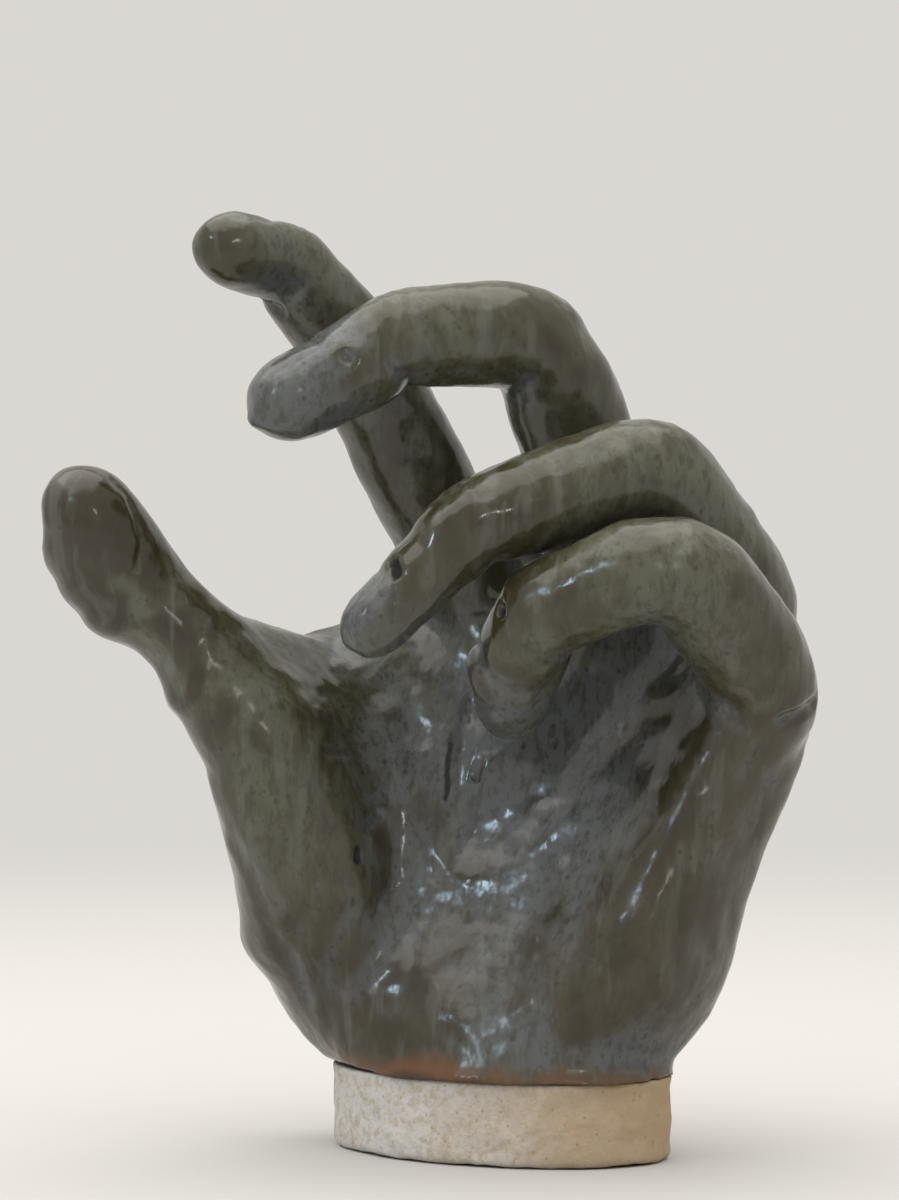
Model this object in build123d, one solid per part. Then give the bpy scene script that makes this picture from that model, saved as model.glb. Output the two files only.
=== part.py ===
from build123d import *
from math import ceil, cos, radians, sin, sqrt
import os

os.makedirs("parts", exist_ok=True)

# A life-size left hand, hand built in stoneware and standing on its wrist.
# A hollow back and a palm panel are luted together on a bare foot, and each digit is pegged on.
# Z is up, and -Y is the side that the fingers curl towards.

# Foot: the bare stub of the wrist
foot_width = 67
foot_depth = 45
foot_height = 15
foot_wall = 8.5
foot_edge = 1.4
lip_height = 4
lip_wall = 2.5
lip_clearance = 0.3
foot_turn_angle = -33
glaze_overhang = 0.8

# Palm and back
palm_height = 94
palm_breadth = 78
palm_thickness = 36
lean_heading_angle = 3
lean_rise_angle = 73
parting_depth = 2
panel_share = 0.766
slit_length = 9
slit_width = 1.2

# Digits: breadth at the knuckle, and the bones from the knuckle to the tip
index_breadth = 20.5
index_bones = (56, 20, 19.5)
middle_breadth = 23
middle_bones = (48.5, 28, 29)
ring_breadth = 21
ring_bones = (36, 35, 31)
little_breadth = 21
little_bones = (37, 28, 27.5)
thumb_breadth = 25
thumb_bones = (21, 31.5, 33, 29)
metacarpal_length = 20
knuckle_bend = 13
middle_bend = 11.5
tip_bend = 9
section_spacing = 6

# Luted joints between the body and the digits
seat_distance = 14
peg_diameter = 8
peg_length = 6
peg_clearance = 0.3

# Where each digit starts, as shares of the palm: across from its axis, to the back, and up
knuckle_shares = {
    "thumb": (-0.287, -0.293, 0.052),
    "index_finger": (-0.413, -0.013, 0.845),
    "middle_finger": (-0.112, 0.123, 0.989),
    "ring_finger": (0.230, 0.226, 0.993),
    "little_finger": (0.421, -0.023, 0.848),
}
fan_share = 0.7

# Directions of the bones, each a compass heading seen from above and a rise above the level
bone_angles = {
    "thumb": ((-180, 57), (-161, 73), (-172, 50), (-161, 53)),
    "index_finger": ((-152, 60), (-142, 43), (-141, 10)),
    "middle_finger": ((-132, 62), (-159, -3), (-160, -22)),
    "ring_finger": ((-138, 45), (-164, -18), (-172, -45)),
    "little_finger": ((-132, 41), (-200, -22), (-252, -50)),
}

# Girth along a digit, as shares of its breadth at places that are shares of its path
thumb_girth_shares = (
    (0, 0.62),
    (0.1, 1.02),
    (0.2, 1.22),
    (0.4, 1.10),
    (0.55, 0.93),
    (0.66, 0.84),
    (0.76, 0.73),
    (0.88, 0.76),
    (1, 0.70),
)
girth_shares = {
    "thumb": thumb_girth_shares,
    "index_finger": ((0, 0.95), (0.2, 1.00), (0.42, 1.00), (0.6, 0.93), (0.78, 0.80), (0.92, 0.71), (1, 0.64)),
    "middle_finger": ((0, 0.95), (0.2, 1.00), (0.42, 1.00), (0.55, 0.93), (0.76, 0.80), (0.9, 0.76), (1, 0.70)),
    "ring_finger": ((0, 0.95), (0.2, 1.00), (0.42, 0.99), (0.62, 0.92), (0.74, 0.80), (0.85, 0.67), (1, 0.58)),
    "little_finger": ((0, 0.95), (0.2, 1.02), (0.45, 1.00), (0.6, 0.90), (0.76, 0.82), (0.9, 0.76), (1, 0.66)),
}
digit_depth_share = 0.93
round_tip_shares = (0.5, 0.82)

# Sections of the palm, bottom to top. Shares of its height, then of half its breadth to the thumb
# side and the little side, then of half its thickness to the back, thumb edge, thumb mound,
# hollow and little mound
palm_section_shares = (
    (0.22, 0.90, 0.89, 1.08, 0.20, 0.92, 0.92, 0.95),
    (0.44, 1.26, 0.91, 0.94, 0.75, 1.00, 0.60, 0.82),
    (0.62, 1.68, 0.93, 0.90, 0.95, 0.95, 0.42, 0.70),
    (0.76, 1.38, 0.98, 0.95, 0.40, 0.50, 0.30, 0.60),
    (0.90, 1.08, 0.84, 0.95, 0.15, 0.25, 0.20, 0.36),
    (0.99, 0.66, 0.50, 0.74, 0.05, 0.10, 0.08, 0.12),
)
full_lean_share = 0.22

# Ovals of the hollow, bottom to top. Shares of the palm's height, then of half its breadth for the
# middle and the half width, then of half its thickness for the middle and the half depth
hollow_section_shares = (
    (0.22, -0.04, 0.66, 0.05, 0.52),
    (0.42, -0.12, 0.64, 0.12, 0.42),
    (0.62, -0.12, 0.54, 0.22, 0.30),
)

# Where a section's eight points lie between its middle and its extremes
little_pad_share = 0.72
dip_share = 0.10
thumb_pad_share = 0.62
thumb_back_shares = (0.72, 0.6)
spine_share = 0.05
little_back_shares = (0.72, 0.68)

# Where the firing slit goes through the palm, as shares of its breadth and height
slit_shares = (-0.208, 0.563)


def direction(heading, rise):
    """Unit vector at a compass heading and a rise, both in degrees."""
    level = cos(radians(rise))
    return Vector(level * cos(radians(heading)), level * sin(radians(heading)), sin(radians(rise)))


# The palm leans. Up runs along it, across runs to the little finger, and back to the back of the hand
up = direction(lean_heading_angle, lean_rise_angle)
level_across = direction(foot_turn_angle, 0)
across = (level_across - up * level_across.dot(up)).normalized()
back = up.cross(across)
wrist = Vector(0, 0, foot_height)
foot_plane = Plane((0, 0, 0), x_dir=level_across, z_dir=(0, 0, 1))
BELOW = (Align.CENTER, Align.CENTER, Align.MAX)
IN_FRONT_AND_BELOW = (Align.CENTER, Align.MAX, Align.MAX)


def palm_point(right, behind, height):
    """A point given from the wrist in the leaning palm's own directions."""
    return wrist + across * right + back * behind + up * height


def smooth_loop(plane, points):
    """A face with one smooth closed outline, through points in a plane."""
    places = [plane.from_local_coords(point) for point in points]
    steps = list(range(len(points) + 1))
    return Face(Wire([Edge.make_spline(places, periodic=True, parameters=steps)]))


def foot_oval(inset):
    """The oval of the foot, drawn in by an inset and lying on the table."""
    return foot_plane * Ellipse(foot_width / 2 - inset, foot_depth / 2 - inset)


def wrist_section():
    """The lower edge of the glaze, an oval through as many points as a section of the palm."""
    half_width = foot_width / 2 + glaze_overhang
    half_depth = foot_depth / 2 + glaze_overhang
    turns = [radians(-45 * point) for point in range(8)]
    points = [(half_width * cos(turn), half_depth * sin(turn)) for turn in turns]
    return smooth_loop(foot_plane.offset(foot_height), points)


def palm_section(row):
    """One section of the palm."""
    height, thumb_side, little_side, behind, thumb_edge, thumb_mound, hollow, little_mound = row
    left = thumb_side * palm_breadth / 2
    right = little_side * palm_breadth / 2
    edge = thumb_edge * palm_thickness / 2
    deep = behind * palm_thickness / 2
    thumb_pad = thumb_mound * palm_thickness / 2
    dip = hollow * palm_thickness / 2
    little_pad = little_mound * palm_thickness / 2
    lean = min(1, height / full_lean_share)
    upright = Vector(0, 0, 1) * (1 - lean) + up * lean
    plane = Plane(palm_point(0, 0, height * palm_height), x_dir=across, z_dir=upright)
    loop = (
        (right, 0),
        (little_pad_share * right, -little_pad),
        (dip_share * right, -dip),
        (-thumb_pad_share * left, -thumb_pad),
        (-left, -edge),
        (-thumb_back_shares[0] * left, thumb_back_shares[1] * (deep - edge)),
        (-spine_share * left, deep),
        (little_back_shares[0] * right, little_back_shares[1] * deep),
    )
    return smooth_loop(plane, loop)


def palm_block():
    """The palm and back as one solid, from the foot to the row of knuckles."""
    return loft([wrist_section()] + [palm_section(row) for row in palm_section_shares])


def hollow_section(row):
    """One oval of the hollow."""
    height, middle, half_width, middle_depth, half_depth = row
    place = palm_point(middle * palm_breadth / 2, middle_depth * palm_thickness / 2, height * palm_height)
    plane = Plane(place, x_dir=across, z_dir=up)
    return plane * Ellipse(half_width * palm_breadth / 2, half_depth * palm_thickness / 2)


def palm_hollow():
    """The hollow inside the palm and wrist, with the socket for the lip of the foot."""
    mouth = foot_oval(foot_wall + lip_clearance + lip_wall).moved(Location((0, 0, foot_height)))
    socket = extrude(foot_oval(foot_wall), amount=lip_height + lip_clearance)
    socket = socket.moved(Location((0, 0, foot_height)))
    return loft([mouth] + [hollow_section(row) for row in hollow_section_shares]) + socket


def share_at(table, place):
    """The value of a table of shares at a place along the digit."""
    for (low, low_value), (high, high_value) in zip(table, table[1:]):
        if place <= high:
            return low_value + (high_value - low_value) * (place - low) / (high - low)
    return table[-1][1]


def digit_joints(name, bones):
    """The joints of a digit, from its root inside the palm to its tip."""
    right, behind, height = knuckle_shares[name]
    joints = [palm_point(right * palm_breadth, behind * palm_thickness, height * palm_height)]
    for length, (heading, rise) in zip(bones, bone_angles[name]):
        joints.append(joints[-1] + direction(heading, rise) * length)
    if name != "thumb":
        root_height = height * palm_height - metacarpal_length
        joints.insert(0, palm_point(fan_share * right * palm_breadth, behind * palm_thickness, root_height))
    return joints


class Digit:
    """One digit: its path through the joints, and the ovals along it."""

    def __init__(self, name, breadth, bones):
        joints = digit_joints(name, bones)
        self.breadth = breadth
        self.girths = girth_shares[name]
        self.path = FilletPolyline(*joints, radius=[knuckle_bend, middle_bend, tip_bend])
        self.side = (joints[2] - joints[1]).cross(joints[3] - joints[2]).normalized()
        knuckle = 2 if name == "thumb" else 1
        to_seat = (joints[knuckle + 1] - joints[knuckle]).normalized() * seat_distance
        self.seat = self.path.param_at_point(joints[knuckle] + to_seat)

    def girth(self, place):
        """Half the breadth at a place."""
        return share_at(self.girths, place) * self.breadth / 2

    def plane(self, place):
        """The plane across the digit, with its x along the axis that the digit bends about."""
        along = self.path % place
        return Plane(self.path @ place, x_dir=self.side - along * self.side.dot(along), z_dir=along)

    def ovals(self, first, last):
        """Evenly spaced ovals along a stretch."""
        steps = ceil((last - first) * self.path.length / section_spacing)
        places = [first + (last - first) * step / steps for step in range(steps + 1)]
        return [self.oval(self.plane(place), self.girth(place)) for place in places]

    def oval(self, plane, girth):
        """An oval of a girth in a plane across the digit."""
        return plane * Ellipse(girth, girth * digit_depth_share)

    def stub(self):
        """The root of the digit up to its seat, which is part of the body."""
        return loft(self.ovals(0, self.seat))

    def finger(self):
        """The digit from its seat to its rounded tip."""
        tip_girth = self.girth(1)
        tip_start = 1 - tip_girth / self.path.length
        sections = self.ovals(self.seat, tip_start)
        for share in round_tip_shares:
            plane = self.plane(tip_start).offset(share * tip_girth)
            sections.append(self.oval(plane, tip_girth * sqrt(1 - share**2)))
        return loft(sections + [Vertex(*(self.path @ 1))])

    def peg(self, clearance):
        """The peg on the root, or with a clearance the hole for it."""
        rod = Cylinder(peg_diameter / 2 + clearance, peg_length + clearance, align=BELOW)
        return self.plane(self.seat) * rod


def foot_ring():
    """The bare ring of clay under the wrist, open below, with a lip that stands in the wrist."""
    ring = extrude(foot_oval(0), amount=foot_height)
    ring = fillet(ring.edges().group_by(Axis.Z)[0], foot_edge)
    ring = ring + extrude(foot_oval(foot_wall + lip_clearance), amount=foot_height + lip_height)
    ring = ring - extrude(foot_oval(foot_wall + lip_clearance + lip_wall), amount=foot_height + lip_height)
    return ring


def firing_slit():
    """The slit that lets steam out of the hollow through the palm."""
    right, height = slit_shares
    middle = palm_point(right * palm_breadth, 0, height * palm_height)
    return Plane(middle, x_dir=level_across, z_dir=(0, 0, 1)) * Box(slit_width, 2 * palm_thickness, slit_length)


def build_parts():
    """Every piece by name, in its place above the middle of the foot."""
    digits = {
        "thumb": Digit("thumb", thumb_breadth, thumb_bones),
        "index_finger": Digit("index_finger", index_breadth, index_bones),
        "middle_finger": Digit("middle_finger", middle_breadth, middle_bones),
        "ring_finger": Digit("ring_finger", ring_breadth, ring_bones),
        "little_finger": Digit("little_finger", little_breadth, little_bones),
    }
    body = palm_block() + digits["thumb"].stub() - palm_hollow()
    for name in list(digits)[1:]:
        body = body + digits[name].stub()
    for digit in digits.values():
        body = body - digit.peg(peg_clearance)
    panel_corner = Plane(palm_point(0, -parting_depth, panel_share * palm_height), x_dir=across, z_dir=up)
    panel_box = Box(3 * palm_breadth, 3 * palm_thickness, 2 * palm_height, align=IN_FRONT_AND_BELOW)
    panel_space = panel_corner * panel_box
    parts = {
        "foot_ring": foot_ring(),
        "palm_shell": (body & panel_space) - firing_slit(),
        "back_shell": body - panel_space,
    }
    for name, digit in digits.items():
        parts[name] = digit.finger() + digit.peg(0)
    return parts


parts = build_parts()
whole = Compound(list(parts.values())).bounding_box()
to_origin = Location((-whole.center().X, -whole.center().Y, -whole.min.Z))
for name, piece in parts.items():
    export_step(to_origin * piece, f"parts/{name}.step")
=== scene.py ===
import bpy
import bmesh
import numpy as np
from math import radians
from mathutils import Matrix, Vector, noise
from mathutils.bvhtree import BVHTree


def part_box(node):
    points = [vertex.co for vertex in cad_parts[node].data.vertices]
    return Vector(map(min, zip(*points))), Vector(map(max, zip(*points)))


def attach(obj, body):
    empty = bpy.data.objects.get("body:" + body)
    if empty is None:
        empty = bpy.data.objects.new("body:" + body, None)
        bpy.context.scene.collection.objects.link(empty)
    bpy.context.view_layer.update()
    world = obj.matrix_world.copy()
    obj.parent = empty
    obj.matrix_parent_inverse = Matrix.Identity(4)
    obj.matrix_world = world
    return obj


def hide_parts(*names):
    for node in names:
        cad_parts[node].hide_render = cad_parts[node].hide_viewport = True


# A life-size left hand in glazed stoneware, standing on the bare clay of its wrist.
# Each digit, the palm, the back and the foot is a piece of its own, in the place of its CAD node.

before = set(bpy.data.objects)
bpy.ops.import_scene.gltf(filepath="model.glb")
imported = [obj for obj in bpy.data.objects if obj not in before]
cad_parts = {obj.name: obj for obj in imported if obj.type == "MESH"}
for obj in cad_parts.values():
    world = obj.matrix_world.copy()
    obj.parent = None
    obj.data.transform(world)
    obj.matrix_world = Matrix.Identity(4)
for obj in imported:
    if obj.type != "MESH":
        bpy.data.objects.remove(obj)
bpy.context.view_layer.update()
scene = bpy.context.scene

mm = 0.001
DIGITS = ("thumb", "index_finger", "middle_finger", "ring_finger", "little_finger")
SHELLS = ("palm_shell", "back_shell")
GLAZED = SHELLS + DIGITS

# The photograph, and the camera that saw it
PHOTO_WIDTH = 899
PHOTO_HEIGHT = 1200
CAMERA_DISTANCE = 700 * mm
CAMERA_HEIGHT = 100 * mm
CAMERA_ASIDE = -9.2 * mm
FOCAL_PIXELS = 3846
SENSOR_MM = 36

# How fine the skin of the clay is
SKIN_GRAIN = 0.62 * mm
FOOT_GRAIN = 0.55 * mm

foot_low, foot_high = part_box("foot_ring")
foot_centre = (foot_low + foot_high) / 2
camera_place = Vector((foot_centre.x + CAMERA_ASIDE, foot_centre.y - CAMERA_DISTANCE, CAMERA_HEIGHT))

# Joints of the digits from root to tip, in mm from the middle of the foot
JOINTS = {
    "thumb": ((-33, 4, 44), (-42, 1, 74), (-63, -2, 99), (-79, -8, 122)),
    "index_finger": ((-3, 19, 98), (-27, 6, 147), (-39, -3, 160), (-54, -15, 163)),
    "middle_finger": ((23, 10, 105), (7, -7, 148), (-19, -17, 146), (-44, -26, 136)),
    "ring_finger": ((46, -2, 99), (27, -19, 124), (-5, -28, 113), (-27, -31, 91)),
    "little_finger": ((49, -18, 84), (30, -39, 108), (6, -30, 97), (0, -13, 76)),
}

# Marks in the clay: half width and depth in mm, and the photograph's pixels that the mark runs through
GROOVES = {
    "thumb_nail_fold": (1.0, 0.5, ((110, 480), (125, 496), (135, 520), (140, 546), (136, 570))),
    "thumb_base_fold_upper": (2.0, 0.35, ((200, 622), (197, 645), (188, 672), (178, 692))),
    "thumb_base_fold_lower": (2.2, 0.3, ((228, 622), (222, 650), (210, 684))),
    "index_tip_fold": (1.3, 0.9, ((236, 292), (250, 297), (264, 302), (280, 312))),
    "middle_tip_fold": (1.8, 0.5, ((390, 362), (396, 372), (404, 382), (418, 389))),
    "little_base_fold": (2.6, 0.4, ((640, 655), (660, 672), (682, 680), (704, 688), (724, 702))),
    "palm_fold": (2.4, 0.6, ((626, 722), (655, 736), (698, 751), (740, 768))),
    "heel_fold": (2.6, 0.4, ((640, 742), (668, 762), (700, 776), (730, 786))),
    "knuckle_step": (1.6, 0.9, ((814, 704), (800, 714), (784, 721))),
    "palm_mark": (1.2, 0.5, ((322, 750), (334, 754), (346, 752))),
    "heel_stroke_left": (2.2, 0.4, ((236, 840), (256, 880), (270, 925), (292, 965))),
    "heel_stroke_middle": (2.0, 0.35, ((318, 890), (300, 925), (296, 965), (306, 1000))),
    "heel_stroke_right": (2.2, 0.3, ((352, 900), (332, 945), (326, 1000), (330, 1040))),
    "cup_stroke": (2.4, 0.45, ((404, 690), (410, 715), (420, 735))),
    "cup_stroke_right": (2.0, 0.4, ((470, 700), (462, 735), (458, 780), (470, 830))),
}
VALLEYS = {
    "pooled_channel": (6.5, 1.5, ((655, 655), (622, 690), (590, 722), (556, 762), (520, 800), (480, 830))),
    "palm_cup": (9.0, 0.9, ((420, 700), (430, 760), (440, 820))),
}
PITS = {
    "palm_slit": (0.5, 5.0, ((449, 742), (447, 758), (445, 772), (446, 786), (444, 798))),
    "little_pinhole": (1.15, 2.6, ((503, 611), (503, 613))),
    "ring_nail_notch": (1.0, 1.8, ((393, 562), (396, 573))),
    "palm_hole": (0.85, 2.4, ((355, 851), (355, 860))),
    "index_chip": (1.2, 1.6, ((257, 298), (263, 301))),
    "heel_pinhole": (0.7, 0.9, ((640, 777), (640, 781))),
}
DIMPLES = {
    "palm_dent_upper": (1.4, 0.45, ((362, 830), (376, 816))),
    "palm_dent_lower": (1.4, 0.45, ((376, 902), (392, 888))),
    "middle_pinhole": (1.3, 0.9, ((346, 357), (349, 359))),
    "palm_pinhole": (0.9, 0.6, ((404, 640), (405, 643))),
}
BULGES = {
    "thumb_pad": (10, 0.8, ((84, 520), (100, 560))),
    "little_tip": (7, 0.9, ((486, 690), (490, 650))),
    "thumb_mound": (20, 0.8, ((270, 760), (300, 830))),
    "little_mound": (18, 0.8, ((650, 830), (630, 930))),
    "middle_pinhole_rim": (2.6, 0.35, ((344, 352), (352, 352))),
    "palm_hole_rim": (3.0, 0.3, ((347, 850), (348, 864))),
}

# How far a mark reaches, in half widths, and how sharply it stops where the skin turns away
MARK_REACH = 1.5
TURN_AWAY = 2
TURN_SHARE = 0.4

# A pit is painted dark with shade out to so many steps, and a step is this share of its half width
PIT_SHADE_STEPS = 2.2
PIT_SHADE_STEP = 0.75

# Webs of clay between the thumb and the palm: pixels on the thumb, pixels on the palm, thickness in mm
WEBS = (
    (((226, 612), (240, 650), (250, 700)), ((330, 643), (350, 690), (366, 730)), 10),
    (((245, 680), (262, 750), (285, 820)), ((350, 690), (380, 770), (394, 835)), 15),
    (((270, 780), (305, 870), (335, 935)), ((388, 800), (400, 880), (392, 935)), 15),
)
# The same on the back of the hand, with places across and up in mm from the middle of the foot
BACK_WEBS = (
    (((-36, 46), (-46, 64), (-50, 74)), ((-17, 46), (-29, 64), (-37, 76)), 9),
    (((-46, 64), (-50, 74), (-56, 86)), ((-29, 64), (-37, 76), (-44, 86)), 9),
    (((-39, 46), (-37, 36), (-34, 28)), ((-20, 48), (-20, 36), (-20, 27)), 8),
)
# How far behind the hand its back is looked at from, and how deep under the skin a web starts, in mm
FAR_BEHIND = 300
WEB_SINK = 0.2

# Lumps of clay pressed on before the skin is drawn: middle, from the middle of the foot, and radius, in mm
LUMPS = {
    "thumb_pad": ((-74.4, -4.5, 109.6), 8.6),
    "thumb_pad_middle": ((-71.8, -4.3, 105.0), 8.7),
    "thumb_pad_end": ((-69.0, -4.0, 100.4), 8.0),
    "little_tip": ((1.3, -21.3, 87.3), 7.8),
    "heel_side": ((-38.2, 6.0, 49.0), 10.9),
    "heel_side_low": ((-36.0, 7.0, 40.4), 12.2),
    "heel_corner": ((-28.6, 8.0, 29.4), 9.2),
}

# Where clay is blended in: places and reach in mm, and the rounds that fill hollows and even the skin out
THUMB_BLENDS = (
    (((-22, 6, 26), (-28, 8, 50), (-30, 10, 84)), 34, 200, 0),
    (((-78, -6, 118), (-69, -4, 101)), 16, 260, 0),
    (((-78, -6, 118), (-64, -2, 94)), 14, 0, 50),
)
HEEL = ((-44, 4, 58), (-43, 6, 37), (-40, 12, 29), (-36, 18, 23))
HAND_BLENDS = (
    (((3, -25, 96), (1, -20, 84)), 13, 160, 0),
    (HEEL, 17, 120, 0),
    (HEEL, 17, 0, 110),
)
# The same along the photograph's pixels: the web, the mound, the edge of the web and the heel
PALM_BLENDS = (
    (((222, 625), (240, 650), (290, 665), (330, 690)), 15, 100, 130),
    (((262, 700), (300, 780), (350, 880)), 16, 100, 60),
    (((350, 690), (384, 780), (400, 880)), 12, 150, 60),
    (((262, 900), (282, 950), (302, 992), (322, 1030)), 17, 100, 120),
)
# The clay at the little finger's root, smoothed with a thumb once its folds are in
LITTLE_ROOT = ((640, 672), (690, 694), (640, 728), (690, 748), (640, 765))
LITTLE_ROOT_REACH = 13
LITTLE_ROOT_ROUNDS = 45

# Places pressed in: a line in mm from the middle of the foot, the side it faces, reach and height in mm
PRESSED = {
    "below_thumb_pad": (((-63, -8, 88), (-63, 4, 88)), (-0.8, 0, -0.6), 9, -2.4),
    "middle_finger_bend": (((17, -12, 152), (17, 0, 152)), (0.7, 0, 0.7), 13, -1.8),
}

# Seams between the pieces are smoothed before the skin is worked: reach, spread in mm, and rounds
DIGIT_SEAM_EVENING = (3.5, 17, 40)
PANEL_SEAM_EVENING = (1.6, 75, 20)
WHOLE_SKIN_FILLING = 60

# Rounds that take the small facets off, each a push in and a push out again
FIRST_SMOOTHING = 10
LAST_SMOOTHING = 3
FOOT_SMOOTHING = 6
PUSH_IN = 0.5
PUSH_OUT = -0.53

# A step outward under this length doesn't count as a hollow, and normals are renewed after so many rounds
LEAST_HOLLOW = 0.002 * mm
ROUNDS_BETWEEN_NORMALS = 20

# The droop of the middle finger's end, how far it reaches, and the share of the bone it starts early by
DROOP = 3.2 * mm
DROOP_REACH = 15 * mm
DROOP_LEAD = 0.25

# Radius of each digit at its middle and end joints, and the side that the thumb's nail faces
JOINT_RADIUS = {
    "thumb": (11, 10), "index_finger": (9.3, 8.2), "middle_finger": (10.5, 9),
    "ring_finger": (9.6, 8), "little_finger": (9.4, 8),
}
NAIL_SIDE = {"thumb": (0.66, 0.70, 0.28)}
NAIL_LENGTH = 6.2 * mm
NAIL_WIDTH = 5.0 * mm
NAIL_SETBACK = 8 * mm
NAIL_FOLD = 0.32 * mm
NAIL_FLATTENING = 0.7

# Round each joint: the half angle in degrees, and the reach and height in mm, of its back and its fold
JOINT_BACK = (35, 7, 0.5)
JOINT_FOLD = (45, 2.6, -0.35)
# Wrinkles over a joint: how far along the digit, and how deep, in mm
WRINKLES = ((-2.8, 0.12), (0.2, 0.2), (2.7, 0.14))
WRINKLE_REACH = 1.5
WRINKLE_SPREAD = 30
WRINKLE_WIDENING = 4
ARC_PLACES = 9

# Sinews run from the wrist to a place behind each finger's root: reach and height in mm
WRIST_BACK = (12, 24, 34)
KNUCKLE_OFFSET = (10, 16, -6)
SINEW = (5.5, 0.55)
KNUCKLE = (10, 0.9)
SINEW_START = 0.25
SINEW_PLACES = 14
KNUCKLE_PLACES = 3

# Lumps that hands leave in the clay: size, height and seed, and what a seed shifts them by
SKIN_LUMPS = ((15 * mm, 0.5 * mm, 1), (6.5 * mm, 0.26 * mm, 2), (3 * mm, 0.12 * mm, 3))
FOOT_LUMPS = ((9 * mm, 0.45 * mm, 4), (3.5 * mm, 0.25 * mm, 5), (1.6 * mm, 0.1 * mm, 6))
SEED_SHIFT = (7.1, 3.7, 5.3)

# The glaze's lower edge, which hangs by a mean and a swing in mm, and the bare clay under it
RIM_TOP = 17.5 * mm
RIM_FADE = 2.5 * mm
RIM_ROLL = 0.35 * mm
RIM_HANG = (0.35, 0.55)
RIM_WAVE = 8 * mm
RIM_SEED = 9
FOOT_TOP = 14.2 * mm
FOOT_FADE = 1.5 * mm
FOOT_SWELL = 0.15 * mm

# Hollows of three sizes: rounds that blur the skin to find them, and their typical depth
BROAD_HOLLOWS = (130, 0.8 * mm)
SMALL_HOLLOWS = (40, 0.30 * mm)
# The smallest hollows are the creases, where painted shade darkens the glaze
CREASE_SHADE_HOLLOWS = (7, 0.055 * mm)
BROAD_SHARE = 0.6
SMALL_SHARE = 0.4

# How much more glaze pools at the finger tips, within a distance, and how much less on the thumb
TIP_POOLS = {"middle_finger": 1.7, "ring_finger": 1.3, "little_finger": 1.3, "index_finger": 0.6}
TIP_POOL_REACH = 34 * mm
THUMB_THINNING = 0.6
THUMB_REACH = 24 * mm
NAIL_POOL = 0.5

# Numbers that mark the faces of the two shells, after those of the five digits
PALM_NUMBER = 6
BACK_NUMBER = 7

# A corner this near a seam's plane lies on it, and a digit's seam is looked for this far round its middle
ON_SEAM = 0.002 * mm
ON_BOTH_SEAMS = 0.005 * mm
CORNER_GAP = 0.03 * mm
SEAM_SEARCH = 22 * mm

# A CAD node's loose corners this near are one, and its faces this near to one plane lie on it
SAME_CORNER = 0.001 * mm
SAME_PLANE = 0.02 * mm
# Faces of the CAD under this area, in square metres, are too small to tell a plane by
SLIVER_AREA = 1e-10

# Colours of the glaze, where olive and brown go from a dark tone to a light one, and of the clay
GLAZE = {
    "olive": ((0.045, 0.043, 0.022, 1), (0.094, 0.096, 0.066, 1)),
    "brown": ((0.034, 0.028, 0.013, 1), (0.062, 0.054, 0.031, 1)),
    "thin": (0.034, 0.027, 0.013, 1),
    "pooled": (0.092, 0.100, 0.103, 1),
    "mottle": (0.038, 0.033, 0.022, 1),
    "streak": (0.128, 0.132, 0.116, 1),
    # Painted shade, laid dark into the creases
    "crease_shade": (0.024, 0.020, 0.014, 1),
    "iron": (0.030, 0.021, 0.013, 1),
    "rust": (0.130, 0.058, 0.021, 1),
    "dark_edge": (0.036, 0.019, 0.010, 1),
    # Painted shade, laid black into the pits
    "painted_pit_shade": (0.006, 0.005, 0.004, 1),
}
CLAY = {
    "body": (0.64, 0.62, 0.60, 1),
    "ochre": (0.44, 0.31, 0.18, 1),
    "mottle": (0.42, 0.34, 0.22, 1),
    "iron": (0.20, 0.13, 0.07, 1),
}

# The studio: pale paper and backdrop, and a dome that is dark at the horizon and bright above
BACKDROP = (0.70, 0.68, 0.65)
PAPER = (0.52, 0.51, 0.50, 1)
HORIZON = (0.04, 0.042, 0.045, 1)
ZENITH = (1.9, 1.85, 1.75, 1)
WARM_LIGHT = (1.0, 0.97, 0.92)
WINDOW_LIGHT = (0.62, 0.83, 1.0)
LAMP_TARGET_HEIGHT = 0.09
FLOOR_SIZE = 4.0
FLOOR_FADE = (0.22, 0.95)


def mesh_arrays(mesh):
    """The points and the edges of a mesh."""
    points = np.empty(len(mesh.vertices) * 3)
    mesh.vertices.foreach_get("co", points)
    edges = np.empty(len(mesh.edges) * 2, int)
    mesh.edges.foreach_get("vertices", edges)
    return points.reshape(-1, 3), edges.reshape(-1, 2)


def mesh_from(form, name):
    """Makes a form into a mesh."""
    mesh = bpy.data.meshes.new(name)
    form.to_mesh(mesh)
    form.free()
    return mesh


def merged_copy(name):
    """A merged copy of a CAD node's mesh."""
    form = bmesh.new()
    form.from_mesh(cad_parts[name].data)
    bmesh.ops.remove_doubles(form, verts=form.verts, dist=SAME_CORNER)
    return mesh_from(form, name + "_copy")


def kneaded(names, grain, added=()):
    """One even skin over the CAD nodes and the clay that is added to them."""
    form = bmesh.new()
    for clay in [merged_copy(name) for name in names] + list(added):
        form.from_mesh(clay)
    lump = bpy.data.objects.new("kneaded", mesh_from(form, "kneaded"))
    scene.collection.objects.link(lump)
    remesh = lump.modifiers.new("even_skin", "REMESH")
    remesh.mode = "VOXEL"
    remesh.voxel_size = grain
    skin = bpy.data.meshes.new_from_object(lump.evaluated_get(bpy.context.evaluated_depsgraph_get()))
    bpy.data.objects.remove(lump)
    return skin


def unit(vectors):
    """Vectors of length one."""
    return vectors / np.maximum(np.linalg.norm(vectors, axis=-1, keepdims=True), 1e-12)


def off_line(points, line):
    """Each point's distance to a line of places."""
    best = np.full(len(points), np.inf)
    for start, end in zip(line, line[1:]):
        along = end - start
        share = np.clip((points - start) @ along / max(along @ along, 1e-18), 0, 1)
        gap = np.linalg.norm(points - start - share[:, None] * along, axis=1)
        best = np.minimum(best, gap)
    return best


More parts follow.
